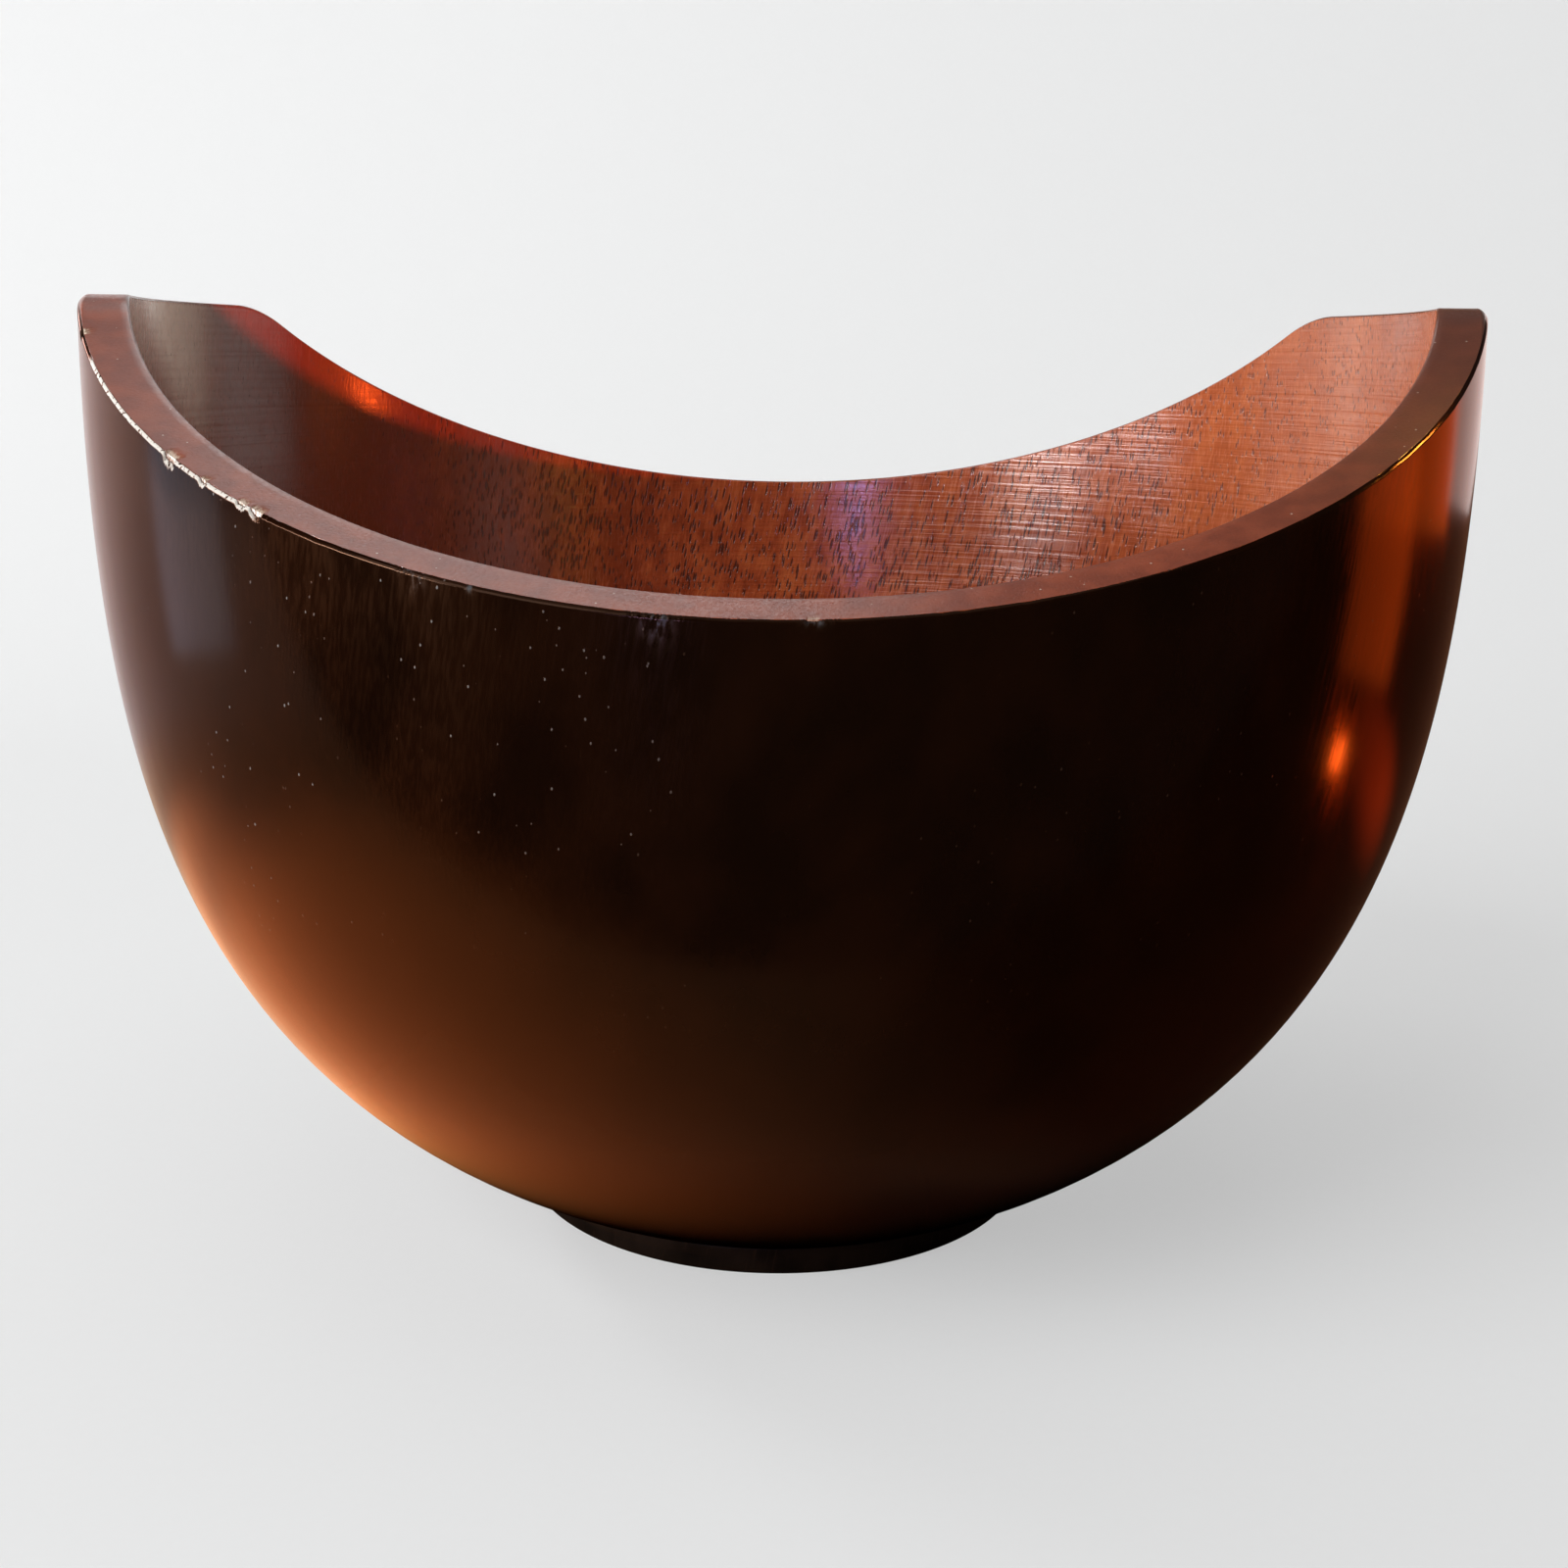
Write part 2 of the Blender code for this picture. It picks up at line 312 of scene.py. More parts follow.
def wall_handles():
    """The four control points of the outer wall's curve, as radius and height."""
    foot = (FOOT_RADIUS, FOOT_HEIGHT)
    foot_handle = (
        FOOT_RADIUS + WALL_SPRING_PULL * math.cos(WALL_SPRING_ANGLE),
        FOOT_HEIGHT + WALL_SPRING_PULL * math.sin(WALL_SPRING_ANGLE),
    )
    rim_handle = (
        RIM_RADIUS + WALL_TOP_PULL * math.sin(WALL_TOP_LEAN),
        HEIGHT - WALL_TOP_PULL * math.cos(WALL_TOP_LEAN),
    )
    return foot, foot_handle, rim_handle, (RIM_RADIUS, HEIGHT)


def wall_point(travel):
    """Radius and height on the outer wall."""
    rest = 1.0 - travel
    weights = (rest ** 3, 3 * rest ** 2 * travel, 3 * rest * travel ** 2, travel ** 3)
    handles = wall_handles()
    radius = sum(weight * handle[0] for weight, handle in zip(weights, handles))
    height = sum(weight * handle[1] for weight, handle in zip(weights, handles))
    return radius, height


def wall_slope(travel):
    """How fast radius and height grow with travel on the outer wall."""
    rest = 1.0 - travel
    first, second, third, last = wall_handles()
    weights = (3 * rest ** 2, 6 * rest * travel, 3 * travel ** 2)
    legs = ((first, second), (second, third), (third, last))
    run = sum(weight * (end[0] - start[0]) for weight, (start, end) in zip(weights, legs))
    rise = sum(weight * (end[1] - start[1]) for weight, (start, end) in zip(weights, legs))
    return run, rise


def wall_normal(travel):
    """Unit vector out of the outer wall, as radius and height."""
    run, rise = wall_slope(travel)
    length = np.hypot(run, rise)
    return rise / length, -run / length


def inset_point(travel, depth):
    """Radius and height at a depth under the outer wall, a number or a function of travel."""
    radius, height = wall_point(travel)
    normal_radius, normal_height = wall_normal(travel)
    inset = depth(travel) if callable(depth) else depth
    return radius - inset * normal_radius, height - inset * normal_height


def inner_face(travel):
    """Depth of the inner wall, which thickens into the lip above the low points of the rim."""
    height = wall_point(travel)[1]
    lip_share = np.maximum(0.0, (height - LOW_RIM_HEIGHT) / CUT_DEPTH)
    return WALL_THICKNESS + (LIP_THICKNESS - WALL_THICKNESS) * lip_share ** 2


def bisect(rising, low, high, rounds=45):
    """The places between low and high where a rising function passes zero."""
    for _ in range(rounds):
        middle = 0.5 * (low + high)
        past = rising(middle) > 0.0
        high = np.where(past, middle, high)
        low = np.where(past, low, middle)
    return 0.5 * (low + high)


def roof_height(offset):
    """Height of the rim cut at an offset from the wings' middle plane."""
    slope = HEIGHT - CUT_SLOPE * (offset - WING_HALF_WIDTH)
    along_corner = np.clip(offset - CORNER_START, 0.0, CORNER_END - CORNER_START)
    corner = HEIGHT - CORNER_RADIUS + np.sqrt(CORNER_RADIUS ** 2 - along_corner ** 2)
    return np.where(offset >= CORNER_END, slope, corner)


def rim_meeting(angles, depth):
    """Travel at which a layer of the wall meets the rim's dressed face, at each angle."""
    spread = np.abs(np.sin(angles))
    low = np.zeros_like(angles)
    high = np.full_like(angles, PAST_TOP)

    def above_cut(travel):
        radius, height = wall_point(travel)
        return height - roof_height(radius * spread)

    edge_radius = wall_point(bisect(above_cut, low, high))[0]
    face_share = RIM_FACE_SLOPE / CUT_SLOPE

    def above_face(travel):
        radius, height = inset_point(travel, depth)
        return height - roof_height(spread * (edge_radius - face_share * (edge_radius - radius)))

    return bisect(above_face, low, high)


def height_meeting(target, depth):
    """Travel at which a layer of the wall passes a height."""
    return float(bisect(lambda travel: inset_point(travel, depth)[1] - target, BELOW_FOOT, PAST_TOP))


def camera_axes():
    """Unit vectors to the right, up and forward of the camera."""
    forward = Vector((
        math.sin(CAMERA_YAW) * math.cos(CAMERA_PITCH),
        math.cos(CAMERA_YAW) * math.cos(CAMERA_PITCH),
        -math.sin(CAMERA_PITCH),
    ))
    level = Vector((math.cos(CAMERA_YAW), -math.sin(CAMERA_YAW), 0.0))
    upright = level.cross(forward)
    right = math.cos(CAMERA_ROLL) * level + math.sin(CAMERA_ROLL) * upright
    up = -math.sin(CAMERA_ROLL) * level + math.cos(CAMERA_ROLL) * upright
    return right, up, forward


def make_camera():
    """The camera at the photograph's place."""
    right, up, forward = camera_axes()
    data = bpy.data.cameras.new("camera")
    data.sensor_width = SENSOR_WIDTH
    data.lens = FOCAL_PIXELS / FRAME_PIXELS * SENSOR_WIDTH
    data.clip_start = NEAREST_SEEN
    camera = bpy.data.objects.new("camera", data)
    turn = Matrix((right, up, -forward)).transposed()
    camera.matrix_world = Matrix.Translation(CAMERA_PLACE) @ turn.to_4x4()
    bpy.context.scene.collection.objects.link(camera)
    bpy.context.scene.camera = camera


def photo_pixels(places):
    """Pixel column and row of each place in the photograph's frame."""
    right, up, forward = (np.array(axis) for axis in camera_axes())
    away = places - np.array(CAMERA_PLACE)
    scale = FOCAL_PIXELS / (away @ forward)
    middle = FRAME_PIXELS / 2
    return np.stack([middle + scale * (away @ right), middle - scale * (away @ up)], -1)


def turned_places(radius, height, angles):
    """Points in space from radius and height at each angle."""
    return np.stack([radius * np.cos(angles), radius * np.sin(angles), height], -1)


def arris_angle(pixel):
    """Angle of the place on the front outer arris that shows nearest a pixel."""
    angles = np.linspace(-math.pi, 0.0, ARRIS_SAMPLES)
    radius, height = wall_point(rim_meeting(angles, 0.0))
    pixels = photo_pixels(turned_places(radius, height, angles))
    return angles[np.argmin(np.linalg.norm(pixels - np.array(pixel), axis=1))]


def along_rim(angles, mark):
    """Distance along the rim from the middle of a mark, in halves of its length."""
    apart = (angles - arris_angle(mark.pixel) + math.pi) % (2 * math.pi) - math.pi
    return apart * RIM_RADIUS / (mark.length / 2)


def column_angles():
    """Angles once round the bowl, with extra ones close together at each mark."""
    angles = [np.arange(COLUMNS) * (2 * math.pi / COLUMNS)]
    for mark in CHIPS + SCUFFS:
        half = mark.length / RIM_RADIUS
        count = int(2 * mark.length / CHIP_COLUMN_STEP)
        angles.append(arris_angle(mark.pixel) + np.linspace(-half, half, count))
    merged = np.sort(np.concatenate(angles) % (2 * math.pi))
    least_gap = 0.5 * CHIP_COLUMN_STEP / RIM_RADIUS
    keep = np.concatenate([[True], np.diff(merged) > least_gap])
    return merged[keep]


def chip_depths(angles):
    """How far the coat is chipped back from the rim at each angle, with ragged edges."""
    random = np.random.default_rng(WEAR_SEED)
    ragged = random.uniform(*CHIP_RAGGED, len(angles))
    depths = EDGE_WEAR * random.uniform(0.0, 1.0, len(angles)) ** EDGE_WEAR_POWER
    for chip in CHIPS:
        inside = np.clip(1.0 - along_rim(angles, chip) ** 2, 0.0, 1.0)
        depths = np.maximum(depths, chip.depth * np.sqrt(inside) * ragged)
    return depths


def scuff_shares(angles, below_rim):
    """How badly the lacquer is scuffed, 0 to 1, at each angle and distance below the rim."""
    shares = np.zeros_like(below_rim)
    for scuff in SCUFFS:
        along = along_rim(angles, scuff)[:, None]
        shares = np.maximum(shares, np.exp(-along ** 2 - (below_rim / scuff.depth) ** 2))
    return shares


def painted_highlight_shares(angles):
    """How strongly the painted highlight shows on the outer arris at each angle, from 0 to 1."""
    wing_end, front_end = arris_angle(PAINTED_HIGHLIGHT_START), arris_angle(PAINTED_HIGHLIGHT_END)
    signed = (angles + math.pi) % (2 * math.pi) - math.pi
    inside = np.minimum(signed - wing_end, front_end - signed) * RIM_RADIUS
    return np.clip(inside / PAINTED_HIGHLIGHT_FADE, 0.0, 1.0)


def wall_rows(start, ends, depth, count):
    """Points up one layer of the wall, closest together at each angle's end travel."""
    shares = 1.0 - (1.0 - np.linspace(0.0, 1.0, count)) ** 2
    travel = start + (ends[:, None] - start) * shares
    return np.stack(inset_point(travel, depth), -1)


def unit(vectors):
    """The vectors at length one."""
    return vectors / np.linalg.norm(vectors, axis=-1, keepdims=True)


def round_rows(corner, arriving, leaving, reach, shares):
    """Points of a small round at each corner, which reaches as far along both directions."""
    fall = ((1.0 - shares) ** ARRIS_POWER * reach[:, None])[..., None]
    run = (shares ** ARRIS_POWER * reach[:, None])[..., None]
    return corner[:, None] - fall * arriving[:, None] + run * leaving[:, None]


class Rim:
    """The rim at each angle: its corners, its directions and the round over its outer arris."""

    def __init__(self, angles):
        self.outer_travel = rim_meeting(angles, 0.0)
        self.inner_travel = rim_meeting(angles, inner_face)
        self.outer = np.stack(inset_point(self.outer_travel, 0.0), -1)
        self.inner = np.stack(inset_point(self.inner_travel, inner_face), -1)
        self.up_wall = unit(np.stack(wall_slope(self.outer_travel), -1))
        self.across = unit(self.inner - self.outer)
        self.speed = np.hypot(*wall_slope(self.outer_travel))
        turn = np.arccos((self.up_wall * self.across).sum(-1))
        wing = np.clip((self.outer[:, 1] - HEIGHT) / WING_ARRIS_FADE + 1.0, 0.0, 1.0)
        radius = ARRIS_RADIUS + (WING_ARRIS_RADIUS - ARRIS_RADIUS) * wing
        self.reach = radius * np.tan(turn / 2)
        self.depth_rate = np.sin(turn)
        round_depth = self.reach * self.depth_rate
        self.coat_share = np.minimum(1.0, (COAT_THICKNESS / round_depth) ** (1.0 / ARRIS_POWER))
        self.chips = chip_depths(angles)

    def coat_top(self):
        """Where the back of the coat comes out on the rim."""
        on_round = self.arris(self.coat_share[:, None])
        on_face = self.outer + (COAT_THICKNESS / self.depth_rate)[:, None] * self.across
        return np.where(self.coat_share[:, None] < 1.0, on_round[:, 0], on_face)

    def coat_top_travel(self):
        """Travel up the wall to the height where the back of the coat comes out."""
        return self.outer_travel - (self.outer - self.coat_top())[:, 1] / self.speed

    def arris(self, shares):
        """Points of the round over the outer arris, from 0 on the wall to 1 on the rim face."""
        return round_rows(self.outer, self.up_wall, self.across, self.reach, shares)


def loft_faces(columns, rows, closed):
    """Corners of a loft's faces. The two axis points of an open one come after all others."""
    index = np.arange(columns * rows).reshape(columns, rows)
    beside = np.roll(index, -1, axis=0)
    after = np.roll(index, -1, axis=1)
    quads = np.stack([index, beside, np.roll(beside, -1, axis=1), after], -1)
    if closed:
        return quads.reshape(-1, 4).tolist()
    faces = quads[:, :-1].reshape(-1, 4).tolist()
    first_pole = columns * rows
    faces += [(first_pole, right, left) for left, right in zip(index[:, 0], beside[:, 0])]
    faces += [(first_pole + 1, left, right) for left, right in zip(index[:, -1], beside[:, -1])]
    return faces


def loft(name, sections, angles, closed):
    """A body from one outline at each angle: a ring if closed, else a line from axis to axis."""
    if closed:
        rings, poles = sections, np.empty((0, 3))
    else:
        rings = sections[:, 1:-1]
        poles = np.array([(0.0, 0.0, sections[0, 0, 1]), (0.0, 0.0, sections[0, -1, 1])])
    places = turned_places(rings[..., 0], rings[..., 1], angles[:, None]).reshape(-1, 3)
    mesh = bpy.data.meshes.new(name)
    mesh.from_pydata(np.concatenate([places, poles]).tolist(), [], loft_faces(*rings.shape[:2], closed))
    mesh.validate()
    mesh.shade_smooth()
    return mesh


def add_object(mesh):
    """Put a mesh into the scene under its own name."""
    piece = bpy.data.objects.new(mesh.name, mesh)
    bpy.context.scene.collection.objects.link(piece)
    return piece


def row_values(section, first, values):
    """Values for a section's rows from a first one on, with zeros for the others."""
    every = np.zeros(section.shape[:2])
    every[:, first:first + values.shape[1]] = values
    return every


def store(piece, name, values):
    """Keep one number for each point of a lofted piece, for its material to read."""
    flat = np.zeros(len(piece.data.vertices))
    flat[:values.size] = values.ravel()
    piece.data.attributes.new(name, "FLOAT", "POINT").data.foreach_set("value", flat)


def make_coat(angles, rim):
    """The lacquer coat: the whole outside, the outer arris and the back that lies on the wood."""
    shares = np.linspace(0.0, 1.0, ARRIS_ROWS) * rim.coat_share[:, None]
    drop = rim.chips[:, None, None] * rim.up_wall[:, None]
    bend = rim.arris(shares) - drop
    edge = rim.coat_top()[:, None] - drop
    outside_top = rim.outer_travel - (rim.reach + rim.chips) / rim.speed
    outside = wall_rows(height_meeting(SEAT_HEIGHT, 0.0), outside_top, 0.0, WALL_ROWS)
    back_start = height_meeting(SEAT_HEIGHT, COAT_THICKNESS)
    back_top = rim.coat_top_travel() - rim.chips / rim.speed
    back = wall_rows(back_start, back_top, COAT_THICKNESS, HIDDEN_ROWS)
    section = np.concatenate([outside, bend[:, 1:], edge, back[:, -2::-1]], axis=1)
    coat = add_object(loft("lacquer_skin", section, angles, closed=True))
    below_rim = np.linalg.norm(section - rim.outer[:, None], axis=-1)
    store(coat, "scuff", scuff_shares(angles, below_rim))
    # Painted highlight: pale colour along the left outer arris
    painted_highlight = np.repeat(painted_highlight_shares(angles)[:, None], PAINTED_HIGHLIGHT_ROWS, axis=1)
    store(coat, "painted_highlight_mask", row_values(section, WALL_ROWS, painted_highlight))
    return coat


def every_angle(rows, angles):
    """The same rows at every angle."""
    return np.broadcast_to(rows, (len(angles), *rows.shape))


def socket_rows():
    """Points of the socket for the foot's spigot, from the axis out to the seat."""
    return np.array([(0.0, SOCKET_HEIGHT), (SOCKET_RADIUS, SOCKET_HEIGHT), (SOCKET_RADIUS, SEAT_HEIGHT)])


def hidden_rows(rim):
    """Points of the wood under the coat: few up the wall, more where chips may bare it."""
    top = rim.coat_top_travel()
    low = top - CHIP_REACH / rim.speed
    start = height_meeting(SEAT_HEIGHT, COAT_THICKNESS)
    hidden = wall_rows(start, low, COAT_THICKNESS, HIDDEN_ROWS)
    shares = np.linspace(0.0, HIDDEN_TOP_SHARE, CORNER_ROWS)[1:]
    near_top = low[:, None] + (top - low)[:, None] * shares
    return hidden, np.stack(inset_point(near_top, COAT_THICKNESS), -1)


def corner_rows(rim):
    """Points of the wood's own part of the outer arris, from the coat to the rim face."""
    steps = np.linspace(0.0, 1.0, CORNER_ROWS)
    corner = rim.arris(rim.coat_share[:, None] + (1.0 - rim.coat_share[:, None]) * steps)
    flat_start = np.maximum(0.0, COAT_THICKNESS / rim.depth_rate - rim.reach)
    flat_steps = np.linspace(CORNER_FLAT_SHARE, 1.0, CORNER_ROWS)[:, None]
    return corner + flat_start[:, None, None] * rim.across[:, None] * flat_steps


def rim_face_rows(rim):
    """Points across the rim face, closest together at the outer edge, and over the inner arris."""
    inward = -unit(np.stack(wall_slope(rim.inner_travel), -1))
    turn = np.arccos((rim.across * inward).sum(-1))
    reach = INNER_ARRIS_RADIUS * np.tan(turn / 2)
    start = np.maximum(rim.reach, COAT_THICKNESS / rim.depth_rate)
    stop = np.linalg.norm(rim.inner - rim.outer, axis=-1) - reach
    share = np.linspace(0.0, 1.0, FACE_ROWS)[1:] ** 2
    along = start[:, None] + (stop - start)[:, None] * share
    face = rim.outer[:, None] + along[..., None] * rim.across[:, None]
    arris_shares = np.linspace(0.0, 1.0, ARRIS_ROWS)[1:]
    arris = round_rows(rim.inner, rim.across, inward, reach, arris_shares)
    return face, arris, reach


def bitten(edge, rim):
    """Rows near the outer arris with wood torn out behind the chips, and how torn each point is."""
    apart = np.linalg.norm(edge - rim.coat_top()[:, None], axis=-1)
    near = np.exp(-(apart / (0.5 * CHIP_REACH)) ** 2)
    chipped = np.maximum(0.0, rim.chips - EDGE_WEAR)[:, None]
    bite = (CHIP_WOOD_SHARE * chipped * near)[..., None]
    way = (BITE_INWARD * rim.across - BITE_DOWN * rim.up_wall)[:, None]
    return edge + bite * way, np.minimum(1.0, chipped / TORN_DEPTH) * near


def dish_rows():
    """Points of the floor from where it meets the inner wall in to the axis."""
    join = height_meeting(DISH_HEIGHT, inner_face)
    join_radius, join_height = inset_point(join, inner_face)
    normal_radius, normal_height = wall_normal(join)
    handle_radius = join_radius + (join_height - FLOOR_HEIGHT) * normal_height / normal_radius
    share = np.linspace(1.0, 0.0, DISH_ROWS + 1)[1:]
    radius = 2 * (1 - share) * share * handle_radius + share ** 2 * join_radius
    height = (1.0 - share ** 2) * FLOOR_HEIGHT + share ** 2 * join_height
    return np.stack([radius, height], -1)


def make_shell(angles, rim):
    """The wooden shell: socket, face under the coat, rim face, inner wall and floor."""
    socket = every_angle(socket_rows(), angles)
    hidden, under_chip = hidden_rows(rim)
    face, arris, reach = rim_face_rows(rim)
    edge, torn = bitten(np.concatenate([under_chip, corner_rows(rim), face], axis=1), rim)
    inside_top = rim.inner_travel - reach / np.hypot(*wall_slope(rim.inner_travel))
    inside_start = height_meeting(DISH_HEIGHT, inner_face)
    inside = wall_rows(inside_start, inside_top, inner_face, INSIDE_ROWS)[:, -2::-1]
    floor = every_angle(dish_rows(), angles)
    section = np.concatenate([socket, hidden, edge, arris, inside, floor], axis=1)
    shell = add_object(loft("shell_wood", section, angles, closed=False))
    first_edge = socket.shape[1] + HIDDEN_ROWS
    first_corner = first_edge + CORNER_ROWS - 1
    face_count = CORNER_ROWS + FACE_ROWS - 1 + ARRIS_ROWS // 2
    on_face = row_values(section, first_corner, np.ones((len(angles), face_count)))
    store(shell, "rim_face", on_face[:, 1:-1])
    store(shell, "chip", row_values(section, first_edge, torn)[:, 1:-1])
    return shell


def arc(centre, radius, start, end, steps):
    """Points of an arc, with its angles in degrees from the radius direction."""
    turns = np.radians(np.linspace(start, end, steps))
    return [(centre[0] + radius * math.cos(turn), centre[1] + radius * math.sin(turn)) for turn in turns]


def foot_outline():
    """Half section of the foot: recess with turning rings, standing ring, edge and spigot."""
    radii = np.linspace(0.0, RECESS_RADIUS - RECESS_EDGE_RADIUS, RECESS_STEPS)
    rings = TURNING_DEPTH * 0.5 * (1.0 - np.cos(2 * math.pi * radii / TURNING_PITCH))
    outline = [(radius, RECESS_DEPTH + ring) for radius, ring in zip(radii, rings)]
    outline += [(RECESS_RADIUS, RECESS_DEPTH - RECESS_EDGE_RADIUS)]
    inner_edge = (RECESS_RADIUS + RECESS_EDGE_RADIUS, RECESS_EDGE_RADIUS)
    outline += arc(inner_edge, RECESS_EDGE_RADIUS, 180.0, 270.0, FINE_EDGE_STEPS)
    outer_edge = (FOOT_RADIUS - FOOT_EDGE_RADIUS, FOOT_EDGE_RADIUS)
    outline += arc(outer_edge, FOOT_EDGE_RADIUS, -90.0, 0.0, EDGE_STEPS)
    quirk_edge = (FOOT_RADIUS - FOOT_QUIRK, FOOT_HEIGHT - FOOT_QUIRK)
    outline += arc(quirk_edge, FOOT_QUIRK, 0.0, 90.0, FINE_EDGE_STEPS)
    outline += [(SPIGOT_RADIUS, FOOT_HEIGHT), (SPIGOT_RADIUS, SPIGOT_TOP), (0.0, SPIGOT_TOP)]
    return np.array(outline)


def make_foot():
    """The turned foot, with half as many columns as the wall."""
    angles = np.arange(COLUMNS // 2) * (4 * math.pi / COLUMNS)
    return add_object(loft("foot_turning", every_angle(foot_outline(), angles), angles, closed=False))


class Nodes:
    """A material's nodes. Each call adds one and returns the socket that it gives."""

    def __init__(self, name):
        self.material = bpy.data.materials.new(name)
        self.material.use_nodes = True
        self.tree = self.material.node_tree
        self.shader = self.tree.nodes["Principled BSDF"]

    def connect(self, socket, value):
        """Link a socket to another one, or set it to a plain value."""
        if isinstance(value, bpy.types.NodeSocket):
            self.tree.links.new(value, socket)
        elif socket.type == "RGBA":
            socket.default_value = (*value, 1.0)
        else:
            socket.default_value = value

    def add(self, kind, values, **settings):
        """Add a node, set it up and connect its usable inputs in order."""
        node = self.tree.nodes.new(kind)
        for setting, value in settings.items():
            setattr(node, setting, value)
        usable = [socket for socket in node.inputs if socket.enabled]
        for socket, value in zip(usable, values):
            self.connect(socket, value)
        return next(socket for socket in node.outputs if socket.enabled)

    def places(self):
        """Places on the piece, in metres."""
        return self.tree.nodes.new("ShaderNodeTexCoord").outputs["Object"]

    def cells(self, size, lean):
        """Places on the piece, counted in cells of a size in metres that lean with the grain."""
        across, along = size
        values = (self.places(), (0.0, 0.0, 0.0), (0.0, lean, 0.0), (across, across, along))
        return self.add("ShaderNodeMapping", values, vector_type="TEXTURE")

    def noise(self, size, detail=SOFT_DETAIL, lean=GRAIN_LEAN):
        """Soft random values whose features have a size in metres."""
        node = self.tree.nodes.new("ShaderNodeTexNoise")
        self.connect(node.inputs["Vector"], self.cells(size, lean))
        node.inputs["Scale"].default_value = 1.0
        node.inputs["Detail"].default_value = detail
        return node.outputs["Fac"]

    def dots(self, size):
        """Distance to the nearest of many random points, in cells of a size in metres."""
        node = self.tree.nodes.new("ShaderNodeTexVoronoi")
        self.connect(node.inputs["Vector"], self.cells(size, GRAIN_LEAN))
        node.inputs["Scale"].default_value = 1.0
        return node.outputs["Distance"]

    def ramp(self, value, low, high, first=0.0, last=1.0):
        """A smooth step from first, where the value is low, to last, where it is high."""
        values = (value, low, high, first, last)
        return self.add("ShaderNodeMapRange", values, interpolation_type="SMOOTHSTEP")

    def math(self, operation, *values):
        """A number worked out from one or two others."""
        return self.add("ShaderNodeMath", values, operation=operation)

    def sum(self, first, second):
        """One number plus another."""
        return self.math("ADD", first, second)

    def product(self, first, second):
        """One number times another."""
        return self.math("MULTIPLY", first, second)

    def greater(self, first, second):
        """The greater of two numbers."""
        return self.math("MAXIMUM", first, second)

    def axis(self, letter):
        """One coordinate of the piece's points, in metres."""
        node = self.tree.nodes.new("ShaderNodeSeparateXYZ")
        self.connect(node.inputs["Vector"], self.places())
        return node.outputs[letter]

    def reach(self):
        """Distance from the turning axis, in metres."""
        squares = [self.product(self.axis(letter), self.axis(letter)) for letter in "XY"]
        return self.math("SQRT", self.sum(*squares))

    def round_axis(self):
        """The direction round the turning axis."""
        node = self.tree.nodes.new("ShaderNodeTangent")
        node.direction_type = "RADIAL"
        node.axis = "Z"
        return node.outputs["Tangent"]

    def blend(self, share, first, second):
        """A colour between two colours."""
        return self.add("ShaderNodeMix", (share, first, second), data_type="RGBA")

    def stored(self, name):
        """A number kept on the piece's points."""
        node = self.tree.nodes.new("ShaderNodeAttribute")
        node.attribute_name = name
        return node.outputs["Fac"]

    def seen(self):
        """1 for what the camera sees straight, else 0."""
        return self.tree.nodes.new("ShaderNodeLightPath").outputs["Is Camera Ray"]

    def bump(self, height, distance):
        """A normal for a height that reaches a distance at 1."""
        node = self.tree.nodes.new("ShaderNodeBump")
        node.inputs["Distance"].default_value = distance
        self.connect(node.inputs["Height"], height)
        return node.outputs["Normal"]

    def shade(self, **values):
        """Set the shader's inputs, named with underscores for spaces."""
        for name, value in values.items():
            self.connect(self.shader.inputs[name.replace("_", " ")], value)


def wood_pores(nodes, rim):
    """Pores, as dashes along the grain: crowded in places, finer at the sides, faint on the rim."""
    width = nodes.ramp(nodes.noise(PORE_CROWD_SIZE), *PORE_WIDTH)
    left = nodes.ramp(nodes.axis("X"), *PORE_LEFT)
    right = nodes.ramp(nodes.axis("X"), *PORE_RIGHT)
    width = nodes.product(width, nodes.product(left, right))
    closeness = nodes.math("DIVIDE", nodes.dots(PORE_SIZE), width)
    return nodes.product(nodes.ramp(closeness, *PORE_EDGE), nodes.ramp(rim, *PORE_ON_RIM))


def inside_colour(nodes, fibres):
    """Red-brown with fine orange mottling, browner at the sides, with painted shade on the left."""
    dark, middle, light = (0.25, 0.040, 0.010), (0.38, 0.068, 0.018), (0.52, 0.118, 0.031)
    side, painted_left_shade = (0.38, 0.108, 0.038), (0.12, 0.035, 0.016)
    mottle = nodes.noise(MOTTLE_SIZE, FINE_DETAIL)
    ribbon = nodes.noise(RIBBON_SIZE)
    tone = nodes.sum(nodes.product(mottle, MOTTLE_TONE), nodes.product(ribbon, RIBBON_TONE))
    tone = nodes.sum(tone, nodes.product(fibres, FIBRE_TONE))
    # painted shade: the tone falls towards the left of the inner wall
    tone = nodes.sum(tone, nodes.ramp(nodes.axis("X"), *LEFT_PAINTED_SHADE_TONE))
    colour = nodes.blend(nodes.ramp(tone, *DARK_TO_MIDDLE), dark, middle)
    colour = nodes.blend(nodes.ramp(tone, *MIDDLE_TO_LIGHT), colour, light)
    aside = nodes.math("ABSOLUTE", nodes.axis("X"))
    colour = nodes.blend(nodes.ramp(aside, *SIDE_SHARE), colour, side)
    # painted shade: a dark colour blended in on the left of the inner wall
    return nodes.blend(nodes.ramp(nodes.axis("X"), *PAINTED_LEFT_SHADE_SHARE), colour, painted_left_shade)


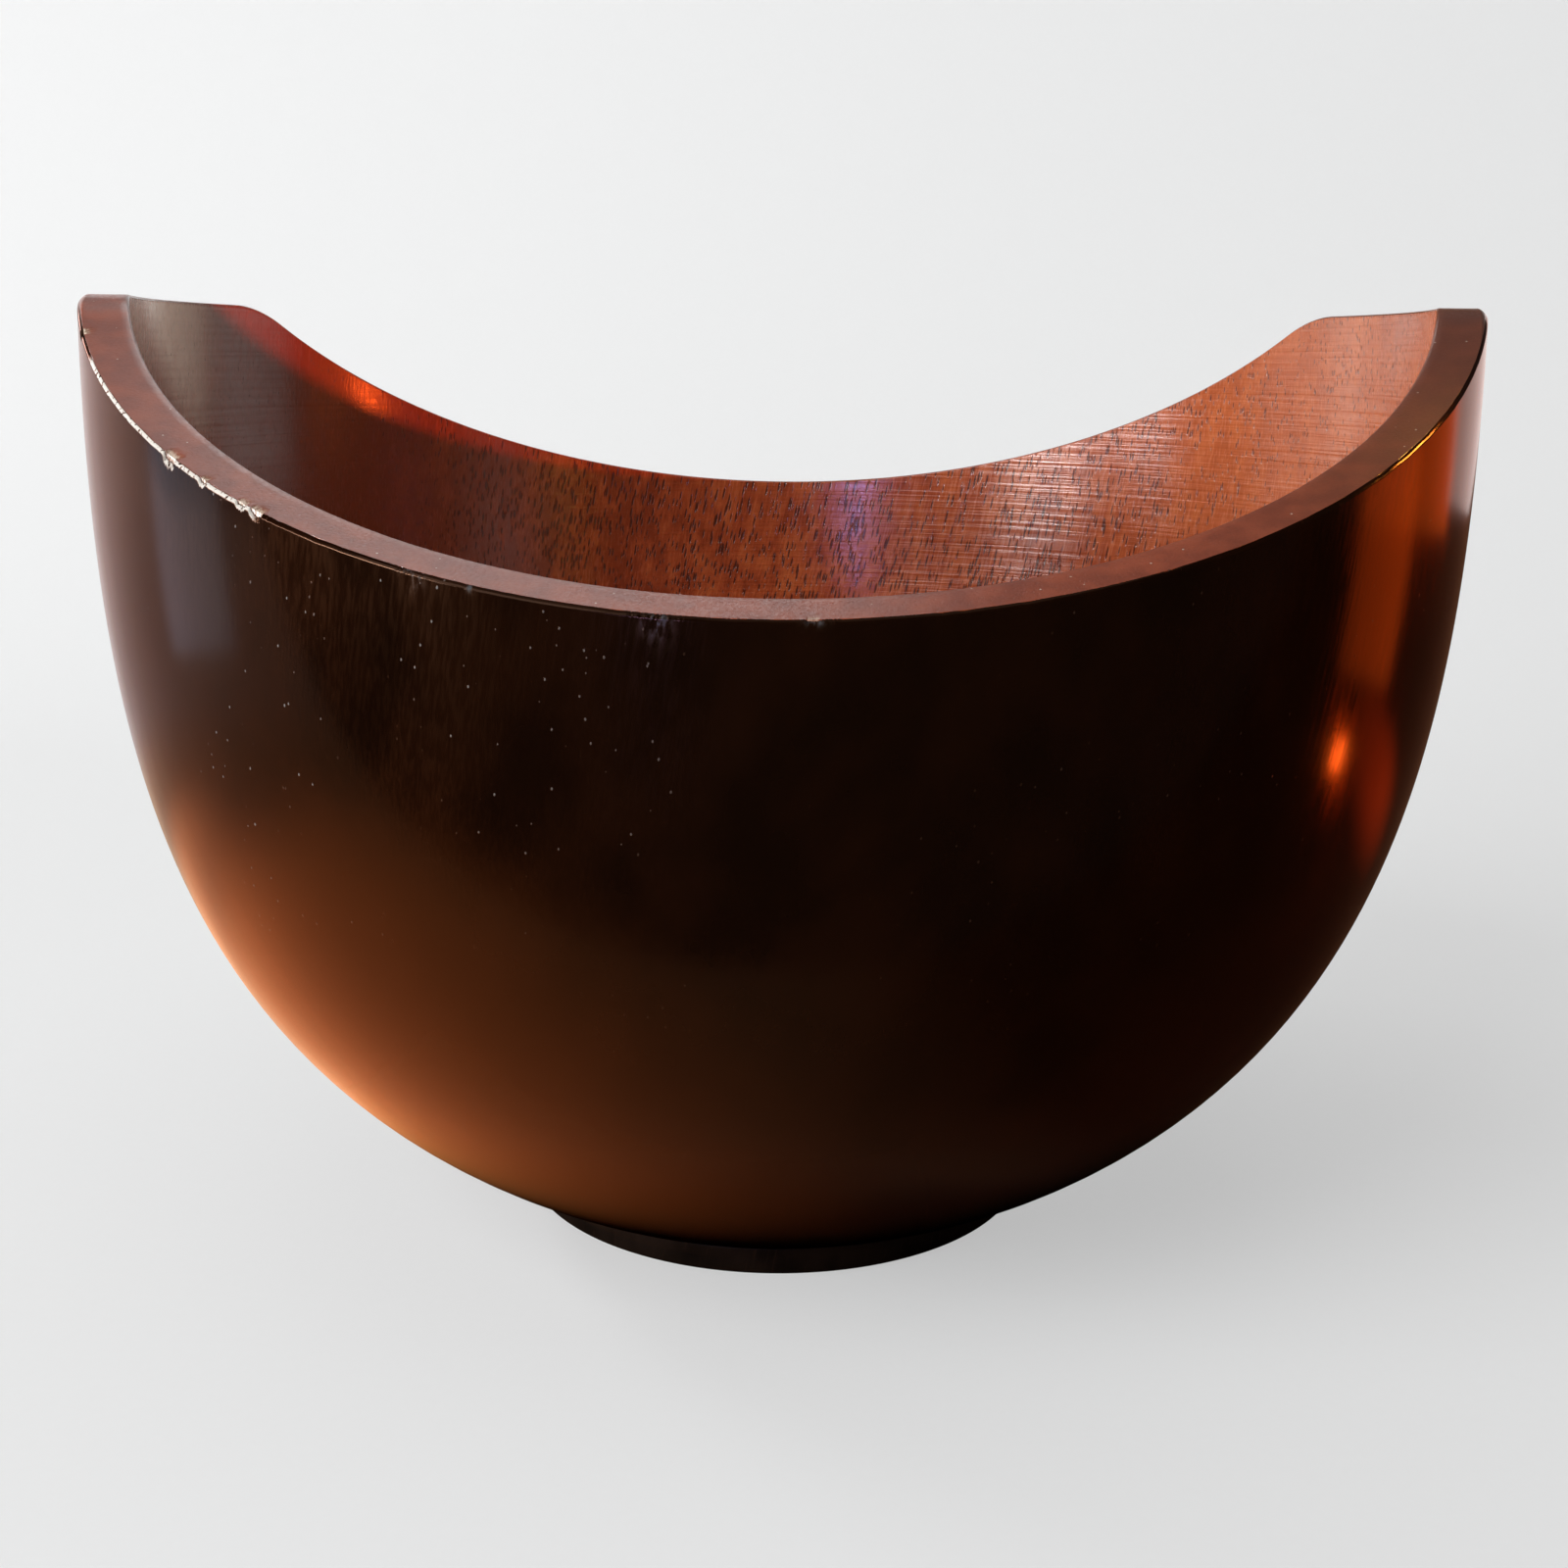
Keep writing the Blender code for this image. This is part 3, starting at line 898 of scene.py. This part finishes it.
def rim_colour(nodes):
    """Plain brown for the dressed rim, with painted shade on the right, and a few pale specks."""
    dark, light = (0.175, 0.032, 0.012), (0.265, 0.053, 0.020)
    painted_right_shade, speck = (0.070, 0.019, 0.008), (0.50, 0.40, 0.34)
    mottle = nodes.ramp(nodes.noise(RIM_MOTTLE_SIZE, FINEST_DETAIL), *NOISE_MIDDLE)
    colour = nodes.blend(mottle, dark, light)
    # painted shade on the right of the rim
    colour = nodes.blend(nodes.ramp(nodes.axis("X"), *RIM_PAINTED_SHADE_SHARE), colour, painted_right_shade)
    return nodes.blend(nodes.ramp(nodes.dots(RIM_SPECK_SIZE), *RIM_SPECK_EDGE), colour, speck)


def wood_height(nodes, rim, pores, fibres):
    """Turning lines inside, strongest on the right, with sunken pores and raised fibres."""
    lines = nodes.ramp(nodes.noise(TURNING_LINE_SIZE, lean=0.0), *TURNING_LINE_EDGE)
    lines = nodes.product(lines, nodes.ramp(nodes.axis("X"), *TURNING_LINE_FADE))
    lines = nodes.product(lines, nodes.ramp(rim, *FALLING))
    height = nodes.sum(nodes.product(lines, TURNING_LINE_HEIGHT), nodes.product(pores, PORE_HEIGHT))
    return nodes.sum(height, nodes.product(fibres, FIBRE_HEIGHT))


def make_wood():
    """Red-brown satin wood with open pores and fine turning lines, plainer on the rim face."""
    pore, torn_dark, torn_pale = (0.045, 0.010, 0.006), (0.22, 0.12, 0.07), (0.66, 0.52, 0.40)
    nodes = Nodes("red_brown_wood")
    rim = nodes.stored("rim_face")
    pores = wood_pores(nodes, rim)
    fibres = nodes.noise(FIBRE_SIZE, FINE_DETAIL)
    colour = nodes.blend(rim, inside_colour(nodes, fibres), rim_colour(nodes))
    colour = nodes.blend(nodes.product(pores, PORE_SHARE), colour, pore)
    torn = nodes.blend(nodes.ramp(fibres, *TORN_TONE), torn_dark, torn_pale)
    nodes.shade(
        Base_Color=nodes.blend(nodes.stored("chip"), colour, torn),
        Roughness=nodes.sum(nodes.ramp(fibres, *WOOD_ROUGHNESS), nodes.product(rim, RIM_ROUGHNESS)),
        IOR=1.45,
        Anisotropic=POLISH_STRETCH,
        Anisotropic_Rotation=QUARTER_TURN,
        Tangent=nodes.round_axis(),
        Normal=nodes.bump(wood_height(nodes, rim, pores, fibres), WOOD_RELIEF),
    )
    return nodes.material


def lacquer_dust(nodes):
    """Small dull specks, thickest on the upper left."""
    patches = nodes.ramp(nodes.noise(DUST_PATCH_SIZE), *DUST_PATCH_EDGE)
    left = nodes.ramp(nodes.axis("X"), *DUST_LEFT)
    upper = nodes.ramp(nodes.axis("Z"), *DUST_UPPER)
    ragged = nodes.product(nodes.noise(DUST_RAGGED_SIZE), DUST_RAGGED)
    specks = nodes.ramp(nodes.sum(nodes.dots(DUST_SIZE), ragged), *DUST_EDGE)
    return nodes.product(nodes.product(specks, patches), nodes.product(left, upper))


def make_lacquer():
    """Black lacquer with an amber depth, faint upright grain, dust, scuffs and a painted highlight on
    the left arris.
    """
    deep, thin, amber_depth = (0.006, 0.0035, 0.002), (0.012, 0.0065, 0.0035), (0.72, 0.37, 0.21)
    dust_grey, scuff_grey, painted_highlight = (0.12, 0.11, 0.105), (0.045, 0.045, 0.050), (0.64, 0.59, 0.53)
    nodes = Nodes("black_lacquer")
    grain = nodes.noise(LACQUER_GRAIN_SIZE, FINE_DETAIL)
    cloud = nodes.noise(LACQUER_CLOUD_SIZE, FINE_DETAIL)
    dust = lacquer_dust(nodes)
    smears = nodes.ramp(nodes.noise(SMEAR_SIZE, FINEST_DETAIL), *SMEAR_EDGE)
    scuffs = nodes.product(smears, nodes.stored("scuff"))
    # Painted highlight on the left outer arris, broken by small gaps
    painted_highlight_mask = nodes.product(nodes.ramp(nodes.noise(HIGHLIGHT_GAP_SIZE), *HIGHLIGHT_GAP_EDGE), nodes.stored("painted_highlight_mask"))
    # Where the coat is scuffed, dusty or carries the painted highlight
    wear_dust_and_highlight = nodes.greater(painted_highlight_mask, nodes.greater(scuffs, dust))
    colour = nodes.blend(nodes.ramp(cloud, *NOISE_MIDDLE), deep, thin)
    colour = nodes.blend(scuffs, colour, scuff_grey)
    colour = nodes.blend(dust, colour, dust_grey)
    rough = nodes.sum(nodes.ramp(cloud, *CLOUD_ROUGHNESS), nodes.ramp(grain, *GRAIN_ROUGHNESS))
    height = nodes.sum(grain, nodes.product(dust, DUST_HEIGHT))
    nodes.shade(
        # painted highlight: a pale colour on the left outer arris
        Base_Color=nodes.blend(painted_highlight_mask, colour, painted_highlight),
        Roughness=nodes.sum(rough, nodes.product(wear_dust_and_highlight, WEAR_DUST_AND_HIGHLIGHT_ROUGHNESS)),
        IOR=1.25,
        Anisotropic=POLISH_STRETCH,
        Anisotropic_Rotation=QUARTER_TURN,
        Tangent=nodes.round_axis(),
        Coat_Weight=nodes.ramp(wear_dust_and_highlight, *FALLING),
        Coat_Roughness=0.14,
        Coat_IOR=1.075,
        Coat_Tint=amber_depth,
        Normal=nodes.bump(height, LACQUER_RELIEF),
    )
    return nodes.material


def make_stained_wood():
    """Black-brown stained wood with fine turning lines."""
    deep, thin, streak = (0.004, 0.0022, 0.0013), (0.011, 0.0055, 0.0032), (0.020, 0.0095, 0.0055)
    nodes = Nodes("black_stained_wood")
    grain = nodes.noise(STAIN_GRAIN_SIZE, FINE_DETAIL)
    cloud = nodes.noise(STAIN_CLOUD_SIZE, FINE_DETAIL)
    lines = nodes.noise(STAIN_LINE_SIZE, lean=0.0)
    colour = nodes.blend(nodes.ramp(cloud, *NOISE_MIDDLE), deep, thin)
    nodes.shade(
        Base_Color=nodes.blend(nodes.ramp(grain, *STAIN_GRAIN_SHARE), colour, streak),
        Roughness=nodes.ramp(cloud, *STAIN_ROUGHNESS),
        IOR=1.08,
        Normal=nodes.bump(nodes.sum(lines, nodes.product(grain, STAIN_GRAIN_HEIGHT)), STAIN_RELIEF),
    )
    return nodes.material


def make_paper():
    """Pale matt paper. For the camera alone, a glow evens it out and it fades into the haze."""
    dark_fleck, pale_fleck = (0.87, 0.87, 0.865), (0.90, 0.90, 0.895)
    nodes = Nodes("pale_paper")
    away = nodes.ramp(nodes.reach(), *FADE_AWAY)
    far = nodes.greater(away, nodes.ramp(nodes.axis("Z"), *FADE_HIGH))
    dim = nodes.ramp(far, 0.0, 1.0, PAPER_DIM, 1.0)
    glow = nodes.ramp(far, 0.0, 1.0, PAPER_GLOW, HAZE_LEVEL)
    flecks = nodes.noise(SPECKLE_SIZE, FINE_DETAIL, lean=0.0)
    paper = nodes.blend(flecks, dark_fleck, pale_fleck)
    nodes.shade(
        Base_Color=nodes.blend(nodes.product(nodes.seen(), dim), paper, BLACK),
        Roughness=PAPER_ROUGHNESS,
        Specular_IOR_Level=0.0,
        Emission_Color=WHITE,
        Emission_Strength=nodes.product(nodes.seen(), glow),
    )
    nodes.material.cycles.emission_sampling = "NONE"
    return nodes.material


def make_mirrored_paper():
    """Paper that is warm near the bowl, with painted shadow close under it and to its right."""
    # dim is the colour of the painted shadow
    warm, pale, dim = (0.885, 0.70, 0.50), (0.885, 0.885, 0.88), (0.15, 0.075, 0.04)
    nodes = Nodes("mirrored_paper")
    right = nodes.ramp(nodes.axis("X"), *RIGHT_SHADE)
    painted_contact_shadow = nodes.ramp(nodes.reach(), *UNDER_SHADE)
    paper = nodes.blend(nodes.ramp(nodes.reach(), *WARM_TO_PALE), warm, pale)
    nodes.shade(
        # painted shadow to the right of the bowl and close under it
        Base_Color=nodes.blend(nodes.greater(right, painted_contact_shadow), paper, dim),
        Roughness=PAPER_ROUGHNESS,
        Specular_IOR_Level=0.0,
    )
    return nodes.material


def make_contact_shade():
    """Black that clears away from the foot: a painted contact shadow under the bowl."""
    nodes = Nodes("contact_shade")
    nodes.shade(
        Base_Color=BLACK,
        Specular_IOR_Level=0.0,
        Alpha=nodes.ramp(nodes.reach(), *CONTACT_SHADE),
    )
    return nodes.material


def make_haze_glow():
    """A pale, even glow."""
    nodes = Nodes("pale_haze")
    nodes.shade(
        Base_Color=BLACK,
        Specular_IOR_Level=0.0,
        Emission_Color=WHITE,
        Emission_Strength=HAZE_LEVEL,
    )
    nodes.material.cycles.emission_sampling = "NONE"
    return nodes.material


def sweep_mesh(name, front, lift):
    """Ground from a front edge that curves up into a backdrop behind the bowl."""
    bend = SWEEP_BACK - lift - SWEEP_RADIUS
    outline = [(front, lift)]
    for turn in np.linspace(0.0, math.pi / 2, SWEEP_STEPS + 1):
        back = bend + SWEEP_RADIUS * math.sin(turn)
        outline.append((back, lift + SWEEP_RADIUS * (1.0 - math.cos(turn))))
    outline.append((SWEEP_BACK - lift, SWEEP_RISE))
    places = [(x, y, z) for x in (-FLOOR_REACH, FLOOR_REACH) for y, z in outline]
    count = len(outline)
    faces = [(row, row + count, row + count + 1, row + 1) for row in range(count - 1)]
    mesh = bpy.data.meshes.new(name)
    mesh.from_pydata(places, [], faces)
    mesh.shade_smooth()
    return mesh


def contact_mesh():
    """A level square round the foot."""
    low, high, lift = -CONTACT_REACH, CONTACT_REACH, CONTACT_LIFT
    places = [(low, low, lift), (high, low, lift), (high, high, lift), (low, high, lift)]
    mesh = bpy.data.meshes.new("contact")
    mesh.from_pydata(places, [], [(0, 1, 2, 3)])
    return mesh


def haze_mesh():
    """A sphere round the whole scene."""
    angles = np.arange(HAZE_COLUMNS) * (2 * math.pi / HAZE_COLUMNS)
    outline = np.array(arc((0.0, 0.0), HAZE_RADIUS, -90.0, 90.0, HAZE_ROWS))
    return loft("haze", every_angle(outline, angles), angles, closed=False)


def add_stage(mesh, material):
    """Put up a mesh that is not part of the bowl."""
    mesh.materials.append(material)
    stage = add_object(mesh)
    return stage


def make_stage():
    """The floor and backdrop, the ground that the polish mirrors instead, and a haze all round."""
    floor = add_stage(sweep_mesh("floor_sweep", -FLOOR_REACH, 0.0), make_paper())
    floor.visible_glossy = False
    mirrored_mesh = sweep_mesh("mirrored_sweep", MIRRORED_FRONT, MIRRORED_LIFT)
    mirrored = add_stage(mirrored_mesh, make_mirrored_paper())
    # the contact sheet is a painted contact shadow under the bowl
    contact = add_stage(contact_mesh(), make_contact_shade())
    for ground in (mirrored, contact):
        ground.visible_camera = False
        ground.visible_diffuse = False
        ground.visible_shadow = False
    haze = add_stage(haze_mesh(), make_haze_glow())
    haze.visible_diffuse = False
    haze.visible_glossy = False
    haze.visible_shadow = False


def place_lamp(data, place, target, power, colour):
    """Set a lamp's strength, hide it from the camera and turn it to face a target."""
    data.energy = power
    data.color = colour
    lamp = bpy.data.objects.new(data.name, data)
    lamp.location = place
    lamp.rotation_euler = (Vector(target) - Vector(place)).to_track_quat("-Z", "Y").to_euler()
    lamp.visible_camera = False
    bpy.context.scene.collection.objects.link(lamp)
    return lamp


def area_light(name, place, target, size, power, colour, shape="RECTANGLE"):
    """A flat lamp that faces a target."""
    data = bpy.data.lights.new(name, "AREA")
    data.shape = shape
    data.size, data.size_y = size
    return place_lamp(data, place, target, power, colour)


def red_spot(name, power):
    """A narrow red lamp that shines over the rim onto the far inner wall."""
    data = bpy.data.lights.new(name, "SPOT")
    data.spot_size = RED_BEAM_CONE
    data.spot_blend = RED_BEAM_BLEND
    data.shadow_soft_size = RED_BEAM_RADIUS
    return place_lamp(data, RED_BEAM_PLACE, BACK_LEFT_RIM, power, BEAM_RED)


def glow_card(name, place, target, size, radiance, colour, shape="RECTANGLE"):
    """A glowing card that only shows as a reflection."""
    fill = math.pi / 4 if shape == "ELLIPSE" else 1.0
    power = math.pi * fill * size[0] * size[1] * radiance
    card = area_light(name, place, target, size, power, colour, shape)
    card.visible_diffuse = False
    return card


def fade_out(card, start):
    """Let a card's light fade out to its edge, from a share of its width away from its middle."""
    middle, edge = (0.5, 0.5, 0.0), 0.5
    card.data.use_nodes = True
    tree = card.data.node_tree
    place = tree.nodes.new("ShaderNodeNewGeometry").outputs["Parametric"]
    reach = tree.nodes.new("ShaderNodeVectorMath")
    reach.operation = "DISTANCE"
    reach.inputs[1].default_value = middle
    tree.links.new(place, reach.inputs[0])
    fade = tree.nodes.new("ShaderNodeMapRange")
    fade.interpolation_type = "SMOOTHSTEP"
    for name, value in (("From Min", start), ("From Max", edge), ("To Min", 1.0), ("To Max", 0.0)):
        fade.inputs[name].default_value = value
    tree.links.new(reach.outputs["Value"], fade.inputs["Value"])
    tree.links.new(fade.outputs["Result"], tree.nodes["Emission"].inputs["Strength"])


def ground_glow(name, middle, size, radiance, colour, start):
    """A glow on the ground that only shows as a reflection and fades out to its edge."""
    place = Vector(middle)
    above = place + Vector((0.0, 0.0, 1.0))
    fade_out(glow_card(name, place, above, size, radiance, colour, "ELLIPSE"), start)


def polar(distance, azimuth, elevation):
    """A place round the bowl: azimuth 0 is in front, -90 to the left, in degrees."""
    turn, rise = math.radians(azimuth), math.radians(elevation)
    level = distance * math.cos(rise)
    return level * math.sin(turn), -level * math.cos(turn), distance * math.sin(rise)


def make_studio_lights():
    """Dim surroundings, two long strips to the left, a soft ceiling and a softbox in front."""
    world = bpy.data.worlds.new("world")
    world.use_nodes = True
    background = world.node_tree.nodes["Background"]
    background.inputs["Color"].default_value = (WORLD_LEVEL, WORLD_LEVEL, WORLD_LEVEL, 1.0)
    bpy.context.scene.world = world
    front, back, near = polar(3.0, -69.0, 12.5), polar(3.2, -120.0, 26.0), polar(2.2, -42.0, 38.0)
    above, ground = (0.0, -0.2, 2.2), (0.0, 0.0, 0.0)
    area_light("front_strip", front, BOWL_MIDDLE, (2.3, 0.4), power=66.0, colour=DAYLIGHT)
    back_strip = area_light("back_strip", back, BOWL_MIDDLE, (2.2, 0.35), power=34.0, colour=DAYLIGHT)
    back_strip.rotation_euler.rotate_axis("Z", BACK_STRIP_ROLL)
    area_light("ceiling", above, ground, (1.8, 1.8), power=9.0, colour=WHITE)
    area_light("softbox", near, BOWL_MIDDLE, (1.2, 1.2), power=24.0, colour=DAYLIGHT)


def make_pale_cards():
    """Cards for the sheen on the rim, the highlights inside and the cool left edge."""
    behind, left, high_left = polar(1.6, -170.0, 46.0), polar(3.0, -67.0, 10.5), polar(3.0, -60.0, 17.0)
    front = polar(1.2, -17.0, 10.0)
    back_right, back_left, far_left = (0.46, 0.635, 0.20), (-0.048, 0.20, 0.175), (-0.55, 0.035, 0.085)
    glow_card("rim_card", behind, BOWL_MIDDLE, (0.55, 0.35), radiance=4.2, colour=WHITE)
    glow_card("wall_card", back_right, BOWL_MIDDLE, (0.62, 0.24), radiance=1.1, colour=WHITE)
    glow_card("strip_card", left, BOWL_MIDDLE, (2.2, 0.26), radiance=40.0, colour=WHITE)
    glow_card("high_strip_card", high_left, BOWL_MIDDLE, (0.9, 0.5), radiance=56.0, colour=WHITE)
    glow_card("violet_card", front, BACK_WALL, (0.08, 0.2), radiance=95.0, colour=VIOLET)
    glow_card("wing_card", back_left, LEFT_WING, (0.10, 0.09), radiance=1.3, colour=CREAM)
    glow_card("blue_card", far_left, BOWL_MIDDLE, (0.17, 0.15), radiance=3.2, colour=BLUE)


def make_warm_cards():
    """Cards for the orange streak and two glints on the right, and glows for the warm lower half."""
    low, high, dot = (0.55, 0.07, 0.06), (0.55, 0.14, 0.13), (0.012, 0.012)
    by_arris, by_wall = (0.145, -0.072, 0.184), (0.265, -0.035, 0.044)
    near_left, far_right = (-0.147, -0.085, GLOW_LIFT), (0.37, 0.09, GLOW_LIFT)
    far_left = (-0.215, 0.05, FAR_GLOW_LIFT)
    glow_card("low_amber_card", low, RIGHT_WALL, (0.15, 0.15), radiance=2.7, colour=AMBER)
    glow_card("high_amber_card", high, RIGHT_WALL, (0.30, 0.08), radiance=2.2, colour=AMBER)
    glow_card("yellow_dot", by_arris, RIGHT_ARRIS, dot, radiance=170.0, colour=YELLOW)
    glow_card("amber_dot", by_wall, LOWER_RIGHT_WALL, dot, radiance=60.0, colour=AMBER)
    ground_glow("near_glow", near_left, (0.36, 0.30), radiance=2.5, colour=ORANGE, start=0.12)
    ground_glow("far_glow", far_left, (0.26, 0.24), radiance=1.1, colour=ORANGE, start=0.15)
    ground_glow("red_glow", far_right, (0.30, 0.16), radiance=1.15, colour=RED, start=0.15)


def make_red_beam():
    """The red beam: one lamp for its matt light and a weaker one for its gloss."""
    red_spot("red_beam", power=17.0).visible_glossy = False
    red_spot("red_glint", power=5.2).visible_diffuse = False


angles = column_angles()
rim = Rim(angles)
pieces = (
    (make_shell(angles, rim), make_wood(), "bowl_shell", "red_brown_wood"),
    (make_coat(angles, rim), make_lacquer(), "lacquer_coat", "black_lacquer"),
    (make_foot(), make_stained_wood(), "turned_foot", "black_stained_wood"),
)
for piece, material, node, slot in pieces:
    piece.data.materials.append(material)
    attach(piece, "root")
    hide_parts(node)
make_stage()
make_studio_lights()
make_pale_cards()
make_warm_cards()
make_red_beam()
make_camera()
bpy.context.scene.view_settings.view_transform = "Standard"
